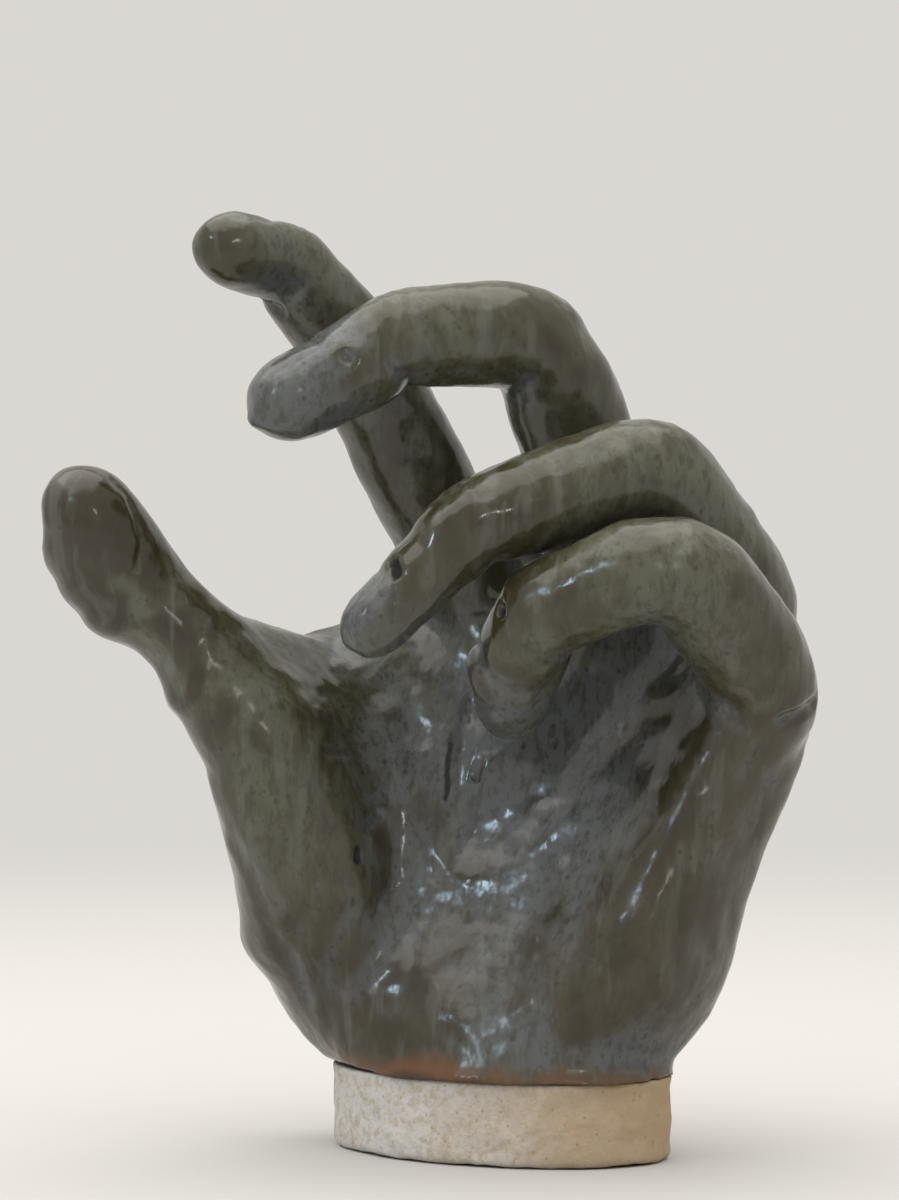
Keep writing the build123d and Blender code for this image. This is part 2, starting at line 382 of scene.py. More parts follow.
def rounded_falloff(gap, reach):
    """One at no distance, falling smoothly to nothing at the reach."""
    return np.clip(1 - (gap / reach) ** 2, 0, 1) ** 2


def tree_of(meshes):
    """A search tree over meshes."""
    form = bmesh.new()
    for mesh in meshes:
        form.from_mesh(mesh)
    tree = BVHTree.FromBMesh(form)
    form.free()
    return tree


class Surface:
    """A skin whose points are moved about, as a hand moves clay."""

    def __init__(self, mesh):
        self.mesh = mesh
        self.points, self.edges = mesh_arrays(mesh)
        self.count = len(self.points)
        self.ends = np.concatenate([self.edges[:, 0], self.edges[:, 1]])
        self.others = np.concatenate([self.edges[:, 1], self.edges[:, 0]])
        self.degree = np.maximum(np.bincount(self.ends, minlength=self.count), 1)[:, None]
        self.refresh()

    def refresh(self):
        """Brings the mesh and the normals up to date."""
        self.mesh.vertices.foreach_set("co", self.points.ravel())
        self.mesh.update()
        normals = np.empty(self.count * 3)
        self.mesh.vertex_normals.foreach_get("vector", normals)
        self.normals = normals.reshape(-1, 3)

    def average(self, values):
        """The mean of each point's neighbours."""
        columns = [np.bincount(self.ends, values[self.others, k], self.count) for k in range(values.shape[1])]
        return np.stack(columns, 1) / self.degree

    def smooth(self, strength):
        """Moves each point towards its neighbours, or away from them."""
        self.points += (self.average(self.points) - self.points) * strength

    def smooth_keeping_size(self, rounds):
        """Takes off the small facets and leaves the form."""
        for _ in range(rounds):
            self.smooth(PUSH_IN)
            self.smooth(PUSH_OUT)
        self.refresh()

    def soften(self, weights, rounds, only_hollows=False):
        """Evens the skin out where the weights say, or only fills its hollows there."""
        moved = np.where(weights > 0)[0]
        chosen = weights[self.ends] > 0
        row = np.zeros(self.count, int)
        row[moved] = np.arange(len(moved))
        rows, others = row[self.ends[chosen]], self.others[chosen]
        degree = np.maximum(np.bincount(rows, minlength=len(moved)), 1)
        share = weights[moved][:, None] * 0.5
        for turn in range(rounds):
            sums = [np.bincount(rows, self.points[others, k], len(moved)) for k in range(3)]
            step = np.stack(sums, 1) / degree[:, None] - self.points[moved]
            if only_hollows:
                step[np.einsum("ij,ij->i", step, self.normals[moved]) < LEAST_HOLLOW] = 0
            self.points[moved] += step * share
            if only_hollows and (turn + 1) % ROUNDS_BETWEEN_NORMALS == 0:
                self.refresh()
        self.refresh()

    def blurred(self, values, rounds):
        """Values spread over the skin."""
        for _ in range(rounds):
            values = values * 0.5 + self.average(values) * 0.5
        return values

    def tree(self):
        """A search tree over the skin."""
        self.refresh()
        return tree_of([self.mesh])

    def work(self, line, facing, reach, height):
        """Raises the skin along a line by a height, or presses it in."""
        near = np.where(np.all(np.abs(self.points - line.mean(0)) < np.ptp(line, 0) / 2 + reach, 1))[0]
        same_side = np.clip(self.normals[near] @ facing * TURN_AWAY + TURN_SHARE, 0, 1)
        share = rounded_falloff(off_line(self.points[near], line), reach) * same_side
        self.points[near] += self.normals[near] * (share * height)[:, None]


def pixel_ray(pixel):
    """The direction in which the camera sees a pixel."""
    across = (pixel[0] - PHOTO_WIDTH / 2) / FOCAL_PIXELS
    down = (pixel[1] - PHOTO_HEIGHT / 2) / FOCAL_PIXELS
    return Vector((across, 1, -down)).normalized()


def seen(tree, pixels, step=4):
    """The places on the skin that the photograph's pixels show, and the way the skin faces there."""
    places, facing = [], []
    for start, end in zip(pixels, pixels[1:]):
        start, end = np.array(start, float), np.array(end, float)
        count = max(1, int(np.linalg.norm(end - start) / step))
        for share in np.arange(count + 1) / count:
            hit, normal, _, _ = tree.ray_cast(camera_place, pixel_ray(start + (end - start) * share))
            if hit is not None:
                places.append(np.array(hit))
                facing.append(np.array(normal))
    if not places:
        return None, None
    return np.array(places), unit(np.mean(facing, 0))


def lumps(points, size, seed):
    """Soft noise over the points, from -1 to 1, at a size."""
    offset = Vector([seed * shift for shift in SEED_SHIFT])
    return np.array([noise.noise(Vector(point) / size + offset) for point in points])


def flat_faces(name):
    """The flat faces of a CAD node, largest first, as (area, centre, normal)."""
    found = {}
    for face in merged_copy(name).polygons:
        if face.area < SLIVER_AREA:
            continue
        offset = round(face.center.dot(face.normal) / SAME_PLANE)
        key = tuple(round(value, 3) for value in face.normal) + (offset,)
        area, centre = found.get(key, (0, Vector((0, 0, 0))))
        found[key] = (area + face.area, centre + face.center * face.area)
    faces = [(area, centre / area, Vector(key[:3]).normalized()) for key, (area, centre) in found.items()]
    return sorted(faces, key=lambda face: -face[0])


SEAMS = {name: (flat_faces(name)[0][1], -flat_faces(name)[0][2]) for name in DIGITS}
panel_back = flat_faces("palm_shell")[0]
panel_top = [face for face in flat_faces("palm_shell")[:4] if face[2].z > 0.9][0]
PANEL = ((panel_back[1], panel_back[2]), (panel_top[1], panel_top[2]))
MIDDLE = Vector((foot_centre.x, foot_centre.y, 0)) / mm


def placed(places):
    """Places given in mm from the middle of the foot, in the row frame."""
    return np.array([Vector(place) + MIDDLE for place in places]) * mm


def near_line(skin, line, reach):
    """Weights that fall off from a line."""
    return rounded_falloff(off_line(skin.points, line), reach * mm)


def blend_in(skin, line, reach, filling, evening):
    """Fills the hollows along a line, then evens the skin out there."""
    weights = near_line(skin, line, reach)
    skin.soften(weights, filling, only_hollows=True)
    skin.soften(weights, evening)


def near_seam(skin, seam, reach, spread):
    """Weights that fall off from a seam's plane, within a distance of its middle."""
    away = skin.points - np.array(seam[0])
    off_plane = np.abs(away @ np.array(seam[1]))
    return rounded_falloff(off_plane, reach * mm) * (np.linalg.norm(away, axis=1) < spread * mm)


def from_front(pixel):
    """Where the camera stands, and the way to a pixel."""
    return camera_place, pixel_ray(pixel)


def from_behind(spot):
    """A place behind the hand, and the way to a spot on its back."""
    return (Vector((spot[0], FAR_BEHIND, spot[1])) + MIDDLE) * mm, Vector((0, -1, 0))


def clay_web(tree, sight, thumb_side, palm_side, thickness):
    """A web of clay stretched between the thumb and the palm."""
    form = bmesh.new()
    for spot in thumb_side + palm_side:
        start, way = sight(spot)
        place = tree.ray_cast(start, way)[0]
        for depth in (WEB_SINK, thickness):
            if place is not None:
                form.verts.new(place + way * depth * mm)
    bmesh.ops.convex_hull(form, input=form.verts)
    return mesh_from(form, "clay_web")


def clay_lump(middle, radius):
    """A rounded lump of clay."""
    form = bmesh.new()
    bmesh.ops.create_icosphere(form, subdivisions=4, radius=radius * mm)
    bmesh.ops.translate(form, verts=form.verts, vec=(Vector(middle) + MIDDLE) * mm)
    return mesh_from(form, "clay_lump")


cad_tree = tree_of([merged_copy(name) for name in GLAZED])
added = [clay_web(cad_tree, from_front, *web) for web in WEBS]
added += [clay_web(cad_tree, from_behind, *web) for web in BACK_WEBS]
added += [clay_lump(*lump) for lump in LUMPS.values()]
skin = Surface(kneaded(GLAZED, SKIN_GRAIN, added))

# The end of the middle finger droops a little more
knuckle, tip = placed(JOINTS["middle_finger"][2:])
bone = tip - knuckle
past = np.clip((skin.points - knuckle) @ bone / (bone @ bone) + DROOP_LEAD, 0, 1)
beside = off_line(skin.points, np.array([knuckle, tip])) < DROOP_REACH
skin.points[:, 2] -= np.where(beside, past * past * (3 - 2 * past) * DROOP, 0)
skin.smooth_keeping_size(FIRST_SMOOTHING)
for seams, (reach, spread, rounds) in ((SEAMS.values(), DIGIT_SEAM_EVENING), (PANEL, PANEL_SEAM_EVENING)):
    for seam in seams:
        skin.soften(near_seam(skin, seam, reach, spread), rounds)
skin.soften(np.ones(skin.count), WHOLE_SKIN_FILLING, only_hollows=True)

# The added clay is worked in, before and behind
for places, *how in THUMB_BLENDS:
    blend_in(skin, placed(places), *how)
for places, side, reach, height in PRESSED.values():
    skin.work(placed(places), unit(np.array(side)), reach * mm, height * mm)
for places, *how in HAND_BLENDS:
    blend_in(skin, placed(places), *how)
photo_tree = skin.tree()
for pixels, *how in PALM_BLENDS:
    blend_in(skin, seen(photo_tree, pixels)[0], *how)
skin.smooth_keeping_size(LAST_SMOOTHING)


def work_marks(skin, marks, sense):
    """Raises a table of marks, or presses them in."""
    for half_width, depth, pixels in marks.values():
        line, facing = seen(photo_tree, pixels)
        if line is not None:
            skin.work(line, facing, half_width * MARK_REACH * mm, sense * depth * mm)


# The marks are worked in where the photograph shows them, and painted shade is laid black in the pits
photo_tree = skin.tree()
# Painted shade: how far inside each pit's dark a point lies
pit_shade = np.zeros(skin.count)
for half_width, depth, pixels in PITS.values():
    line = seen(photo_tree, pixels, step=2)[0]
    if line is not None:
        steps = off_line(skin.points, line) / (half_width * PIT_SHADE_STEP * mm)
        pit_shade = np.maximum(pit_shade, np.clip(PIT_SHADE_STEPS - steps, 0, 1))
for sense, marks in ((1, BULGES), (-1, VALLEYS), (-1, GROOVES), (-1, DIMPLES), (-1, PITS)):
    work_marks(skin, marks, sense)
    skin.refresh()
skin.soften(near_line(skin, seen(photo_tree, LITTLE_ROOT)[0], LITTLE_ROOT_REACH), LITTLE_ROOT_ROUNDS)


def digit_frame(name):
    """A digit's joints in the row frame, and the way its back faces at its middle and end joints."""
    joints = [np.array(place) * mm + np.array((foot_centre.x, foot_centre.y, 0)) for place in JOINTS[name]]
    bones = [unit(b - a) for a, b in zip(joints, joints[1:])]
    backs = [unit(first - second) for first, second in zip(bones, bones[1:])]
    return joints, bones, backs


def ring_line(centre, bone, facing, radius, spread):
    """A short arc of places round a digit, on the side that it faces."""
    side = unit(np.cross(bone, facing))
    turns = np.radians(np.linspace(-spread, spread, ARC_PLACES))
    return np.array([centre + radius * (facing * np.cos(turn) + side * np.sin(turn)) for turn in turns])


def on_skin(line):
    """The line drawn on to the skin."""
    return np.array([np.array(photo_tree.find_nearest(Vector(place))[0]) for place in line])


def work_ring(place, bone, facing, radius, spread, reach, height):
    """Raises the skin along a short arc round a digit, or presses it in, all in mm and degrees."""
    arc = on_skin(ring_line(place, bone, facing, radius * mm, spread))
    skin.work(arc, facing, reach * mm, height * mm)


def nail(skin, centre, along, facing, length, width):
    """Presses a flat finger nail in, with a fold round its root and sides."""
    across = unit(np.cross(along, facing))
    near = np.where(np.linalg.norm(skin.points - centre, axis=1) < length * 1.4)[0]
    place = skin.points[near] - centre
    down, aside, height = place @ along, place @ across, place @ facing
    shape = ((np.abs(down) / length) ** 3 + (np.abs(aside) / width) ** 3) ** (1 / 3)
    same_side = np.clip(skin.normals[near] @ facing * 3, 0, 1)
    proud = np.maximum(height + 0.5 * mm, 0) * np.clip((1.02 - shape) * 8, 0, 1)
    fold = NAIL_FOLD * np.exp(-((shape - 1) / 0.13) ** 2) * np.where(down > length * 0.7, 0.2, 1)
    skin.points[near] -= facing * ((proud * NAIL_FLATTENING + fold) * same_side)[:, None]
    return near, np.clip((1.05 - shape) * 6, 0, 1) * same_side


nail_plate = np.zeros(skin.count)
for name in DIGITS:
    joints, bones, backs = digit_frame(name)
    for place, bone, back, radius in zip(joints[1:3], bones, backs, JOINT_RADIUS[name]):
        work_ring(place, bone, back, radius, *JOINT_BACK)
        if name != "thumb":
            work_ring(place, bone, -back, radius, *JOINT_FOLD)
        for shift, depth in WRINKLES:
            spread = WRINKLE_SPREAD + WRINKLE_WIDENING * shift
            work_ring(place + bone * shift * mm, bone, back, radius, spread, WRINKLE_REACH, -depth)
    facing = unit(np.array(NAIL_SIDE.get(name, backs[1])))
    facing = unit(facing - bones[2] * (facing @ bones[2]))
    centre = on_skin([joints[3] - bones[2] * NAIL_SETBACK + facing * JOINT_RADIUS[name][1] * mm])[0]
    near, plate = nail(skin, centre, bones[2], facing, NAIL_LENGTH, NAIL_WIDTH)
    nail_plate[near] = np.maximum(nail_plate[near], plate)
skin.refresh()

# Sinews and knuckles under the back of the hand
wrist_back = Vector(WRIST_BACK) + MIDDLE
hand_back = np.array(PANEL[0][1])
shares = np.linspace(SINEW_START, 1, SINEW_PLACES)
for name in DIGITS[1:]:
    knuckle = Vector(JOINTS[name][0]) + MIDDLE + Vector(KNUCKLE_OFFSET)
    sinew = on_skin([wrist_back.lerp(knuckle, share) * mm for share in shares])
    for line, (reach, height) in ((sinew, SINEW), (sinew[-KNUCKLE_PLACES:], KNUCKLE)):
        skin.work(line, hand_back, reach * mm, height * mm)
skin.refresh()

# The whole skin is a little uneven
for size, height, seed in SKIN_LUMPS:
    skin.points += skin.normals * (lumps(skin.points, size, seed) * height)[:, None]
skin.refresh()

# The glaze ends in a wavy roll just over the foot
rim_side = unit((skin.points - np.array(foot_centre)) * (1, 1, 0))
outer_rim = np.clip(np.einsum("ij,ij->i", skin.normals, rim_side) * 3 - 1, 0, 1)
outer_rim *= np.clip((RIM_TOP - skin.points[:, 2]) / RIM_FADE, 0, 1)
hang = RIM_HANG[0] + RIM_HANG[1] * lumps(skin.points * (1, 1, 0.2), RIM_WAVE, RIM_SEED)
skin.points[:, 2] -= outer_rim * np.clip(hang, 0, 1) * mm
skin.points += rim_side * (outer_rim * RIM_ROLL)[:, None]
skin.refresh()


def hollowness(rounds, typical):
    """How far the skin lies below its surroundings, from about -1 to 1."""
    inward = np.einsum("ij,ij->i", skin.blurred(skin.points, rounds) - skin.points, skin.normals)
    return np.tanh((inward - np.median(inward)) / typical)


# How deep the glaze lies: pooled in the hollows and thin over the ridges; and the creases, which take painted
# shade
pooled = BROAD_SHARE * hollowness(*BROAD_HOLLOWS) + SMALL_SHARE * hollowness(*SMALL_HOLLOWS)
for name, extra in TIP_POOLS.items():
    off_tip = np.linalg.norm(skin.points - placed(JOINTS[name][3:]), axis=1)
    pooled += extra * rounded_falloff(off_tip, TIP_POOL_REACH)
off_thumb = off_line(skin.points, placed(JOINTS["thumb"][1:]))
pooled += NAIL_POOL * nail_plate - THUMB_THINNING * rounded_falloff(off_thumb, THUMB_REACH)
# Painted shade: how deep each crease lies, to darken it
crease_shade = hollowness(*CREASE_SHADE_HOLLOWS)
mesh = skin.mesh
for label, values in (("pooled", pooled), ("crease_shade", crease_shade), ("pit_shade", pit_shade * 2 - 1)):
    layer = mesh.attributes.new(label, "FLOAT", "POINT")
    layer.data.foreach_set("value", np.clip(values * 0.5 + 0.5, 0, 1))
layer = mesh.attributes.new("skin_normal", "FLOAT_VECTOR", "POINT")
layer.data.foreach_set("vector", skin.normals.ravel())


def closed_loops(edges):
    """Sorts cut edges into loops of edges."""
    left = set(edges)
    loops = []
    while left:
        stack = [left.pop()]
        loop = []
        while stack:
            edge = stack.pop()
            loop.append(edge)
            for corner in edge.verts:
                for other in corner.link_edges:
                    if other in left:
                        left.remove(other)
                        stack.append(other)
        loops.append(loop)
    return loops


def middle_of(edges):
    """The middle of a loop of edges."""
    total = Vector((0, 0, 0))
    for edge in edges:
        total += edge.verts[0].co + edge.verts[1].co
    return total / (2 * len(edges))


def flooded(start):
    """All the faces that hang together with one face."""
    found = {start}
    stack = [start]
    while stack:
        for edge in stack.pop().edges:
            for face in edge.link_faces:
                if face not in found:
                    found.add(face)
                    stack.append(face)
    return found


def beyond(place, seam):
    """How far a place lies beyond a seam."""
    return (place - seam[0]).dot(seam[1])


def slice_flat(form, faces, seam):
    """Cuts the faces along the plane of a seam, and gives the new edges."""
    edges = {edge for face in faces for edge in face.edges}
    corners = {corner for face in faces for corner in face.verts}
    geometry = list(faces) + list(edges) + list(corners)
    cut = bmesh.ops.bisect_plane(form, geom=geometry, plane_co=seam[0], plane_no=seam[1], dist=1e-7)
    return [item for item in cut["geom_cut"] if isinstance(item, bmesh.types.BMEdge)]


def cut_digit(form, name):
    """Parts a digit from the hand along its seam, and gives its faces."""
    seam = SEAMS[name]
    near = [face for face in form.faces if (face.calc_center_median() - seam[0]).length < SEAM_SEARCH]
    edges = slice_flat(form, near, seam)
    loop = min(closed_loops(edges), key=lambda loop: (middle_of(loop) - seam[0]).length)
    outer = [face for edge in loop for face in edge.link_faces if beyond(face.calc_center_median(), seam) > 0]
    bmesh.ops.split_edges(form, edges=loop)
    return flooded(outer[0])


def lies_on(corners, seams, nearness=ON_SEAM):
    """Whether all the corners lie on the planes of all the seams."""
    return all(abs(beyond(corner.co, seam)) < nearness for corner in corners for seam in seams)


def close_flat(piece, rim):
    """Closes a rim of open edges flat, and marks the new faces."""
    closed = piece.faces.layers.int["closed"]
    if rim:
        filled = bmesh.ops.triangle_fill(piece, edges=rim, use_beauty=True, use_dissolve=False)
        for item in filled["geom"]:
            if isinstance(item, bmesh.types.BMFace):
                item[closed] = 1


def join_panel_corners(piece):
    """Joins the two corners of the panel's seam by a straight edge."""
    corners = [corner for corner in piece.verts if corner.is_boundary and lies_on([corner], PANEL)]
    return [piece.edges.new(corners)] if len(corners) == 2 else []


def piece_of(form, number, name, seams, has_panel):
    """The piece of the skin that stands for one CAD node."""
    piece = form.copy()
    part = piece.faces.layers.int["part"]
    bmesh.ops.delete(piece, geom=[face for face in piece.faces if face[part] != number], context="FACES")
    piece.faces.layers.int.new("closed")
    if has_panel:
        shared = join_panel_corners(piece)
        for seam in PANEL:
            close_flat(piece, [edge for edge in piece.edges
                               if (edge.is_boundary or edge in shared) and lies_on(edge.verts, [seam])])
    for seam in seams:
        close_flat(piece, [edge for edge in piece.edges if edge.is_boundary and lies_on(edge.verts, [seam])])
    bmesh.ops.recalc_face_normals(piece, faces=piece.faces)
    bmesh.ops.triangulate(piece, faces=[face for face in piece.faces if len(face.verts) > 4])
    return mesh_from(piece, name)


def keep_skin_normals(mesh):
    """Gives the skin the shading it had before it was cut, so that no seam shows."""
    closed = np.empty(len(mesh.polygons), int)
    mesh.attributes["closed"].data.foreach_get("value", closed)
    skin_normal = np.empty(len(mesh.vertices) * 3)
    mesh.attributes["skin_normal"].data.foreach_get("vector", skin_normal)
    skin_normal = unit(skin_normal.reshape(-1, 3))
    face_normal = np.empty(len(mesh.polygons) * 3)
    mesh.polygon_normals.foreach_get("vector", face_normal)
    face_normal = face_normal.reshape(-1, 3)
    corner_points = np.empty(len(mesh.loops), int)
    mesh.loops.foreach_get("vertex_index", corner_points)
    sizes = np.empty(len(mesh.polygons), int)
    mesh.polygons.foreach_get("loop_total", sizes)
    corner_faces = np.repeat(np.arange(len(mesh.polygons)), sizes)
    flat = closed[corner_faces] == 1
    shading = np.where(flat[:, None], face_normal[corner_faces], skin_normal[corner_points])
    mesh.polygons.foreach_set("use_smooth", np.ones(len(mesh.polygons), bool))
    mesh.normals_split_custom_set(shading.tolist())
    for name in ("skin_normal", "part", "closed"):
        mesh.attributes.remove(mesh.attributes[name])


def finish_piece(mesh, name, material, slot):
    """Sets a piece in the place of its CAD node."""
    piece = bpy.data.objects.new(name + "_" + slot, mesh)
    scene.collection.objects.link(piece)
    mesh.materials.append(material)
    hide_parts(name)
    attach(piece, "root")


class Recipe:
    """Writes shader nodes into a material or a group."""

    def __init__(self, tree):
        self.tree = tree

    def node(self, kind, settings=None, **inputs):
        """A node with its settings, its inputs fed by their names."""
        node = self.tree.nodes.new(kind)
        for key, value in (settings or {}).items():
            setattr(node, key, value)
        for key, value in inputs.items():
            self.feed(node.inputs[key.replace("_", " ")], value)
        return node

    def feed(self, socket, value):
        """Links a socket to another one, or gives it a value."""
        if isinstance(value, bpy.types.NodeSocket):
            self.tree.links.new(value, socket)
        else:
            socket.default_value = value

    def sum(self, operation, *values):
        """The outcome of a sum on the values."""
        node = self.tree.nodes.new("ShaderNodeMath")
        node.operation = operation
        for socket, value in zip(node.inputs, values):
            self.feed(socket, value)
        return node.outputs[0]

    def blend(self, share, first, second):
        """Goes from the first colour to the second as the share goes from 0 to 1."""
        node = self.tree.nodes.new("ShaderNodeMix")
        node.data_type = "RGBA"
        for number, value in zip((0, 6, 7), (share, first, second)):
            self.feed(node.inputs[number], value)
        return node.outputs[2]

    def grade(self, value, low, high, to_low=0.0, to_high=1.0):
        """A smooth step of the value, from low to high."""
        node = self.node("ShaderNodeMapRange", {"interpolation_type": "SMOOTHSTEP"})
        for socket, given in zip(node.inputs, (value, low, high, to_low, to_high)):
            self.feed(socket, given)
        return node.outputs[0]

    def looking(self):
        """One where the camera, a reflection or clear glass looks on, and nothing where light falls."""
        path = self.node("ShaderNodeLightPath")
        mirrored = self.sum("MAXIMUM", path.outputs["Is Camera Ray"], path.outputs["Is Glossy Ray"])
        return self.sum("MAXIMUM", mirrored, path.outputs["Is Transmission Ray"])

    def place(self, stretch=(1, 1, 1)):
        """Where a point lies on the object, stretched along its axes."""
        coordinates = self.node("ShaderNodeTexCoord")
        mapping = self.node("ShaderNodeMapping", Vector=coordinates.outputs["Object"], Scale=stretch)
        return mapping.outputs[0]

    def off_middle(self, axis):
        """How far a point lies along an axis of the object."""
        coordinates = self.node("ShaderNodeTexCoord")
        return self.node("ShaderNodeSeparateXYZ", Vector=coordinates.outputs["Object"]).outputs[axis]

    def measured(self, name):
        """What an attribute of the mesh says."""
        return self.node("ShaderNodeAttribute", {"attribute_name": name}).outputs["Fac"]

    def group(self, group, **values):
        """What a node group puts out for its own values."""
        node = self.tree.nodes.new("ShaderNodeGroup")
        node.node_tree = group
        for name, value in values.items():
            node.inputs[name].default_value = value
        return node.outputs[0]

    def noise(self, scale, detail=3.0, rough=0.5, stretch=(1, 1, 1), twist=0.0):
        """Noise over the object."""
        return self.node("ShaderNodeTexNoise", Vector=self.place(stretch), Scale=scale, Detail=detail,
                         Roughness=rough, Distortion=twist).outputs[0]


def shader_group(name, output, **inputs):
    """A shader node group with named numbers going in and one number coming out."""
    group = bpy.data.node_groups.new(name, "ShaderNodeTree")
    for label, value in inputs.items():
        socket = group.interface.new_socket(label, in_out="INPUT", socket_type="NodeSocketFloat")
        socket.default_value = value
    group.interface.new_socket(output, in_out="OUTPUT", socket_type="NodeSocketFloat")
    recipe = Recipe(group)
    given = group.nodes.new("NodeGroupInput")
    put_out = group.nodes.new("NodeGroupOutput")
    return group, recipe, given.outputs, put_out.inputs


def speck_group():
    """Small iron specks that the firing has brought through the glaze, as a mask."""
    group, recipe, given, out = shader_group("iron_specks", "Mask", Scale=400.0, Amount=0.2)
    cells = recipe.node("ShaderNodeTexVoronoi", Vector=recipe.place(), Scale=given["Scale"])
    chance = recipe.node("ShaderNodeSeparateColor", Color=cells.outputs["Color"]).outputs[0]
    chosen = recipe.sum("LESS_THAN", chance, given["Amount"])
    dot = recipe.grade(cells.outputs["Distance"], 0.16, 0.34, 1.0, 0.0)
    recipe.feed(out["Mask"], recipe.sum("MULTIPLY", dot, chosen))
    return group


def hand_marks_group():
    """The unevenness that fingers and a brush leave, as a height."""
    group, recipe, given, out = shader_group("hand_marks", "Height", Dimples=1.0, Strokes=1.0)
    dimples = recipe.sum("MULTIPLY", recipe.noise(scale=260.0, detail=2.0), given["Dimples"])
    brushed = recipe.noise(scale=300.0, detail=2.0, stretch=(1, 1, 0.16), twist=0.6)
    strokes = recipe.sum("MULTIPLY", brushed, given["Strokes"])
    recipe.feed(out["Height"], recipe.sum("ADD", dimples, strokes))
    return group


def new_material(name):
    """An empty material, and the recipe that fills it."""
    material = bpy.data.materials.new(name)
    material.use_nodes = True
    material.node_tree.nodes.clear()
    return material, Recipe(material.node_tree)


def glaze_material(specks, hand_marks):
    """Glossy stoneware glaze: blue-grey where it pools, olive on the rounds, brown where it is thin."""
    material, recipe = new_material("pooled_stoneware_glaze")
    broad = recipe.noise(scale=22.0, detail=3.0, rough=0.55)
    flow = recipe.noise(scale=70.0, detail=4.0, rough=0.6, stretch=(1, 1, 0.4), twist=0.8)
    fine = recipe.noise(scale=620.0, detail=4.0, rough=0.7, stretch=(1, 1, 0.5))
    streak = recipe.noise(scale=190.0, detail=3.0, rough=0.6, stretch=(1, 1, 0.16), twist=0.5)
    uneven = recipe.sum("MULTIPLY_ADD", recipe.sum("ADD", broad, flow), 0.7, -0.7)
    depth = recipe.sum("ADD", recipe.measured("pooled"), uneven)
    across, level = recipe.off_middle(0), recipe.off_middle(2)

    # Olive above and brown below, and higher up on the side of the little finger
    olive = recipe.blend(recipe.grade(flow, 0.36, 0.64), *GLAZE["olive"])
    brown = recipe.blend(recipe.grade(flow, 0.36, 0.64), *GLAZE["brown"])
    leaning = recipe.sum("ADD", level, recipe.sum("MULTIPLY_ADD", across, -0.5, 0.005))
    low_down = recipe.sum("MULTIPLY_ADD", recipe.sum("SUBTRACT", broad, 0.5), 0.09, leaning)
    coat = recipe.blend(recipe.grade(low_down, 0.045, 0.080), brown, olive)

    # Thin on the rounds and thick in the hollows, mottled, streaked, with painted shade in the creases, and
    # specked
    thin = recipe.blend(recipe.grade(depth, 0.12, 0.42), GLAZE["thin"], coat)
    thick = recipe.blend(recipe.grade(depth, 0.50, 0.90), thin, GLAZE["pooled"])
    mottled = recipe.blend(recipe.grade(fine, 0.47, 0.62, 0.0, 0.6), thick, GLAZE["mottle"])
    streaked = recipe.blend(recipe.grade(streak, 0.52, 0.68, 0.0, 0.4), mottled, GLAZE["streak"])
    # Painted shade: the creases are darkened as if in shadow
    fold = recipe.grade(recipe.measured("crease_shade"), 0.80, 1.0, 0.0, 0.35)
    crease_shaded = recipe.blend(fold, streaked, GLAZE["crease_shade"])
    iron = recipe.sum("MULTIPLY", recipe.group(specks, Scale=520.0, Amount=0.20), 0.55)
    specked = recipe.blend(iron, crease_shaded, GLAZE["iron"])

    # Rust where the glaze ran down to the bare clay, a dark edge, and painted shade in the pits
    wave = recipe.noise(scale=48.0, detail=3.0)
    edge = recipe.sum("MULTIPLY_ADD", recipe.sum("SUBTRACT", wave, 0.5), 0.012, level)
    off_run = recipe.sum("ABSOLUTE", recipe.sum("ADD", across, 0.004))
    run = recipe.grade(off_run, 0.008, 0.018, 1.0, 0.0)
    blotch = recipe.grade(recipe.noise(scale=30.0, detail=2.0), 0.5, 0.62, 0.0, 0.8)
    patch = recipe.sum("MAXIMUM", run, blotch)
    near_edge = recipe.sum("MULTIPLY", recipe.grade(edge, 0.0152, 0.0196, 1.0, 0.0), patch)
    rust = recipe.blend(near_edge, specked, GLAZE["rust"])
    dark_edge = recipe.blend(recipe.grade(edge, 0.0136, 0.0160, 0.9, 0.0), rust, GLAZE["dark_edge"])
    # Painted shade: the pits are darkened as their shadow would darken them
    painted_pit_shade = recipe.grade(recipe.measured("pit_shade"), 0.35, 0.9, 0.0, 0.92)
    finished = recipe.blend(painted_pit_shade, dark_edge, GLAZE["painted_pit_shade"])

    glossy = recipe.grade(flow, 0.3, 0.7, 0.13, 0.27)
    shine = recipe.sum("MAXIMUM", glossy, recipe.sum("MULTIPLY", painted_pit_shade, 0.8))
    marks = recipe.group(hand_marks, Dimples=0.8, Strokes=0.5)
    bump = recipe.node("ShaderNodeBump", Strength=0.3, Distance=0.0005, Height=marks)
    shader = recipe.node("ShaderNodeBsdfPrincipled", Base_Color=finished, Roughness=shine,
                         Normal=bump.outputs[0], IOR=1.52)
    recipe.node("ShaderNodeOutputMaterial", Surface=shader.outputs[0])
    return material


